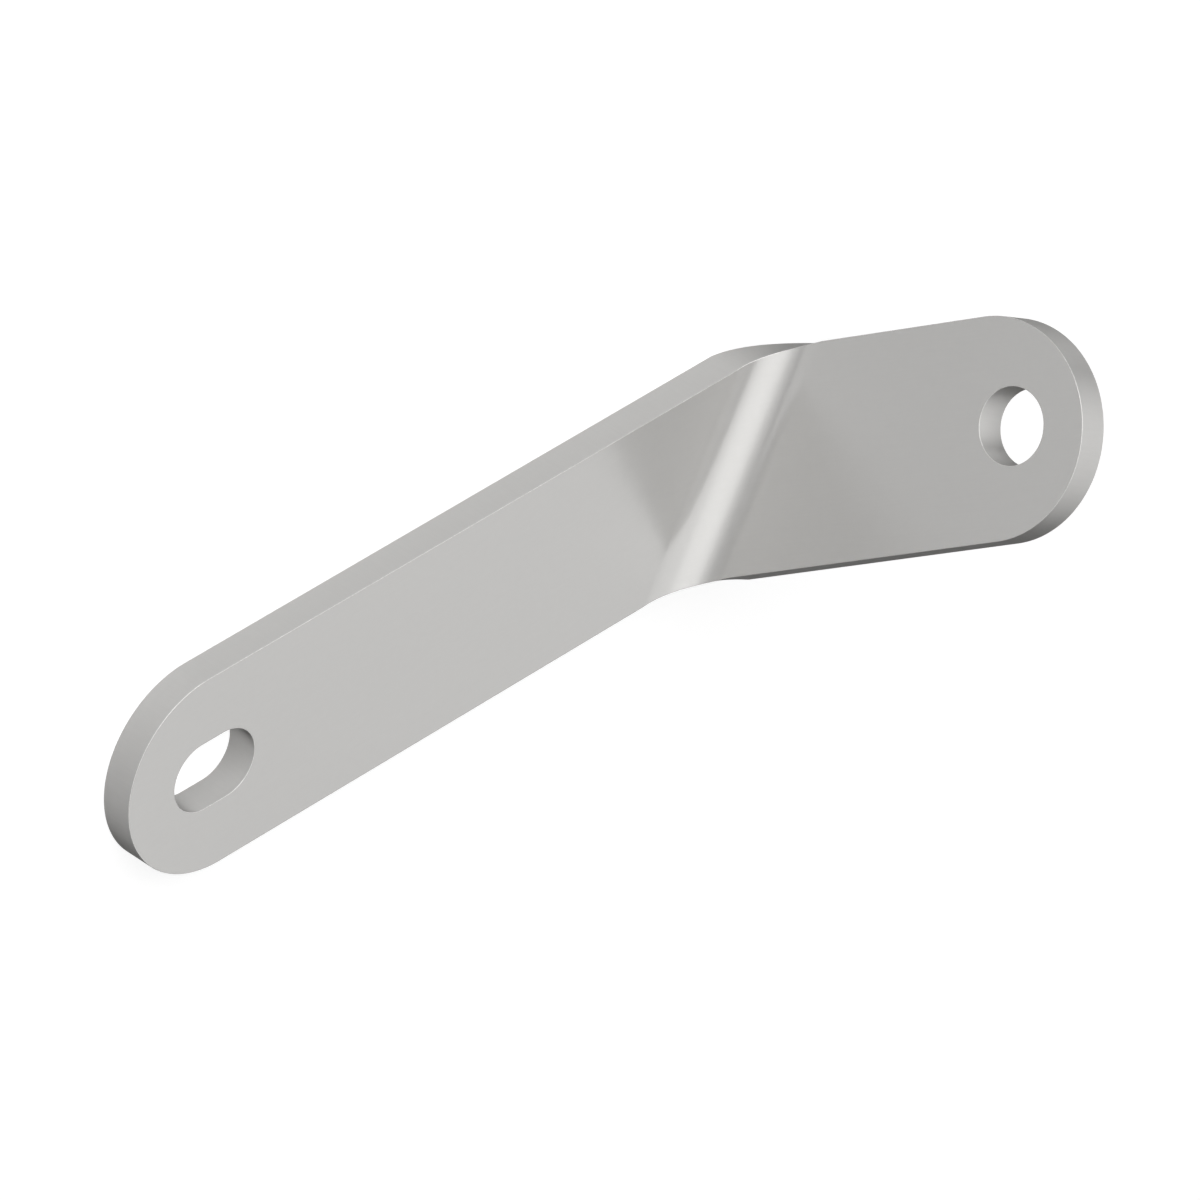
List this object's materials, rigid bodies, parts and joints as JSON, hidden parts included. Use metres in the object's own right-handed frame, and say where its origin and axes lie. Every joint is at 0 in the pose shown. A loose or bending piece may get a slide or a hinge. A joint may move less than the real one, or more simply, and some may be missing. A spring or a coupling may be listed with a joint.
{
  "type": "battery disconnect bracket",
  "caption": "Flat steel strap with round ends, bent once to a right angle on a slanted line, with a short bolt slot in the long arm and a bolt hole in the short arm.",
  "frame": {"origin": "centre of the slot on the outer face of the long arm, which is the face it rests and is bolted on", "axes": "+Y from the slot along the long arm to the bend, +Z out of the inner side of the bend, the way the short arm rises, +X across the bar, away from the side that the short arm leans to"},
  "size_m": [0.0479, 0.1323, 0.0573],
  "materials": {
    "steel": "plain light grey, satin"
  },
  "bodies": {
    "root": {"bracket": "steel"}
  },
  "joints": []
}
